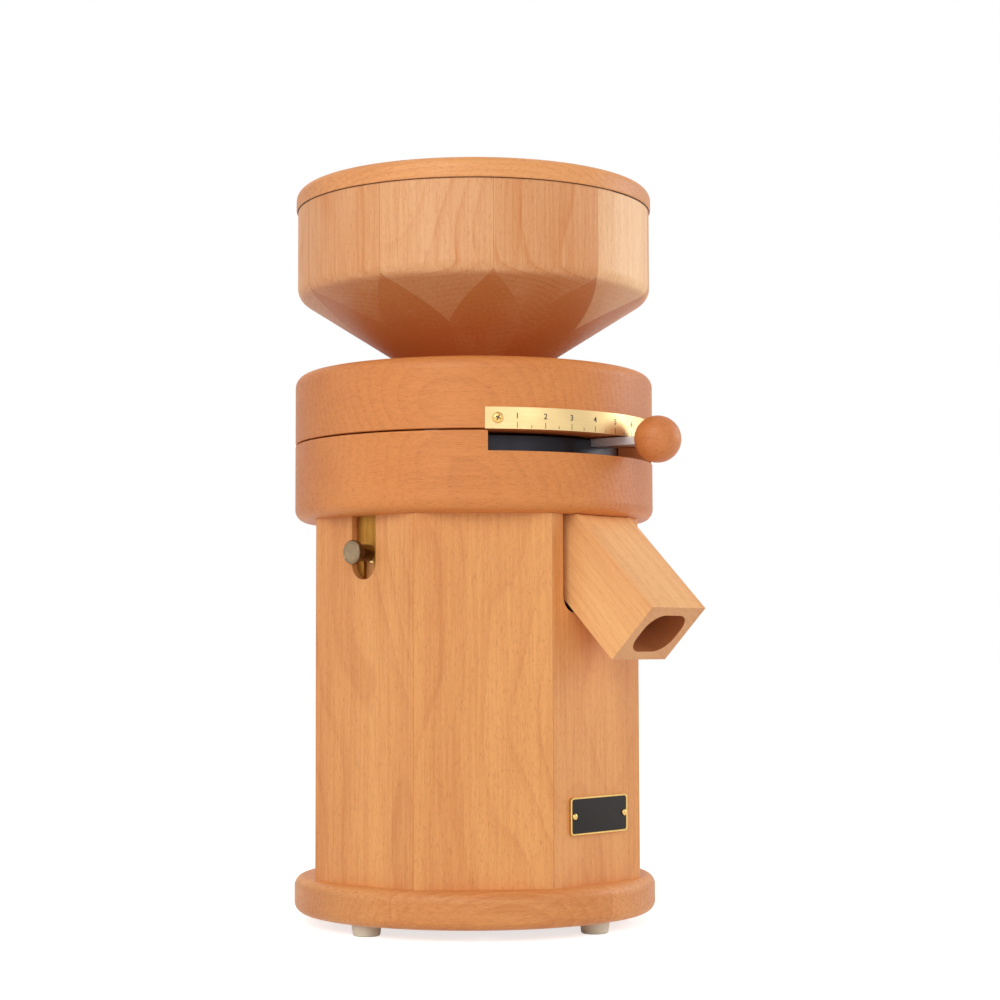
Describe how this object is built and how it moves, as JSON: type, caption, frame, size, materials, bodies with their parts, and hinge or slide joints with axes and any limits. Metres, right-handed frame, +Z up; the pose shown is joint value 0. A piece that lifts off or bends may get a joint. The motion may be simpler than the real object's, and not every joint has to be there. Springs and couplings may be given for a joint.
{
  "type": "electric grain mill",
  "caption": "Electric grain mill with an octagonal wooden body, round hopper with lid, brass scale and setting lever, slanted spout and lift-off grinding chamber.",
  "frame": {"origin": "on the mill's axis, in the plane its feet stand on", "axes": "+Z up, the spout and nameplate face -Y, the side locks are on -X and +X"},
  "size_m": [0.176, 0.2134, 0.3578],
  "materials": {
    "beech_body": "oiled satin, upright grain",
    "beech_rings": "oiled satin, level grain",
    "beech_hopper": "oiled satin, upright grain",
    "beech_spout": "oiled satin",
    "beech_ball": "oiled satin",
    "plywood": "raw plywood",
    "rubber_feet": "matt cream rubber",
    "brass": "polished brass",
    "black_plate": "black enamel with a bare border",
    "steel": "zinc plated",
    "dark_metal": "dark turned metal",
    "light_alloy": "die cast and machined",
    "copper_windings": "enamelled copper",
    "stone": "corundum in ceramic bond",
    "black_plastic": "moulded black plastic",
    "grey_plastic": "moulded grey plastic",
    "felt": "pressed felt"
  },
  "bodies": {
    "root": {"base_plate": "beech_rings", "base_screws": "steel", "cable_gland": "black_plastic", "capacitor": "grey_plastic", "chamber_bowl": "light_alloy", "chamber_screws": "steel", "chamber_seal": "felt", "corner_staves": "beech_body", "feet": "rubber_feet", "foot_screws": "steel", "front_stave": "beech_body", "inner_leads": "grey_plastic", "left_stave": "beech_body", "lock_inserts": "brass", "lower_bearing": "steel", "motor_bottom_shield": "light_alloy", "motor_deck": "plywood", "motor_screws": "steel", "motor_tie_bolts": "steel", "motor_top_shield": "light_alloy", "nameplate": "black_plate", "nameplate_pins": "brass", "rear_stave": "beech_body", "right_stave": "beech_body", "spout": "beech_spout", "spout_screws": "steel", "stator_core": "steel", "stator_windings": "copper_windings", "switch_housing": "black_plastic", "terminal_block": "black_plastic", "upper_bearing": "steel"},
    "rotor": {"motor_shaft": "steel", "rotor_core": "steel", "cooling_fan": "black_plastic", "sweeper_hub": "light_alloy", "lower_stone": "stone", "hub_nut": "steel"},
    "rocker": {"rocker": "black_plastic"},
    "left_stud": {"left_lock_stud": "brass"},
    "left_head": {"left_lock_head": "brass"},
    "right_stud": {"right_lock_stud": "brass"},
    "right_head": {"right_lock_head": "brass"},
    "chamber_top": {"lower_ring": "beech_rings", "upper_ring": "beech_rings", "ring_screws": "steel", "ring_spacers": "steel", "lock_straps": "brass", "strap_screws": "steel", "scale_plate": "brass", "scale_screws": "brass", "guide_pins": "steel", "feed_tube": "light_alloy"},
    "lever": {"adjusting_ring": "dark_metal", "lever_bar": "light_alloy", "lever_ball": "beech_ball", "lever_screws": "steel"},
    "stone_carrier": {"stone_carrier": "dark_metal", "upper_stone": "stone"},
    "hopper": {"hopper": "beech_hopper"},
    "lid": {"lid": "beech_hopper"}
  },
  "joints": [
    {"name": "motor_spin", "type": "hinge", "parent": "root", "child": "rotor", "pos_m": [0, 0, 0.12], "axis": [0, 0, 1], "continuous": true},
    {"name": "top_lift", "type": "slide", "parent": "root", "child": "chamber_top", "axis": [0, 0, 1], "range_m": [0, 0.06]},
    {"name": "lever_turn", "type": "hinge", "parent": "chamber_top", "child": "lever", "pos_m": [0, 0, 0.2], "axis": [0, 0, 1], "range_deg": [-44, 26.4]},
    {"name": "stone_feed", "type": "slide", "parent": "chamber_top", "child": "stone_carrier", "axis": [0, 0, 1], "range_m": [-0.00074, 0.00045]},
    {"name": "hopper_lift", "type": "slide", "parent": "chamber_top", "child": "hopper", "axis": [0, 0, 1], "range_m": [0, 0.06]},
    {"name": "lid_lift", "type": "slide", "parent": "hopper", "child": "lid", "axis": [0, 0, 1], "range_m": [0, 0.05]},
    {"name": "rocker_tilt", "type": "hinge", "parent": "root", "child": "rocker", "pos_m": [0, 0.0756, 0.078], "axis": [-1, 0, 0], "range_deg": [0, 12]},
    {"name": "left_lock_travel", "type": "slide", "parent": "root", "child": "left_stud", "axis": [-1, 0, 0], "range_m": [0, 0.004]},
    {"name": "left_lock_turn", "type": "hinge", "parent": "left_stud", "child": "left_head", "pos_m": [-0.08, 0, 0.1767], "axis": [-1, 0, 0], "range_deg": [0, 1447]},
    {"name": "right_lock_travel", "type": "slide", "parent": "root", "child": "right_stud", "axis": [1, 0, 0], "range_m": [0, 0.004]},
    {"name": "right_lock_turn", "type": "hinge", "parent": "right_stud", "child": "right_head", "pos_m": [0.08, 0, 0.1767], "axis": [1, 0, 0], "range_deg": [0, 1447]}
  ],
  "couplings": [
    {"joint": "stone_feed", "follows": "lever_turn", "m_per_rad": 0.00095493},
    {"joint": "left_lock_turn", "follows": "left_lock_travel", "rad_per_m": 6283.2},
    {"joint": "right_lock_turn", "follows": "right_lock_travel", "rad_per_m": 6283.2}
  ]
}
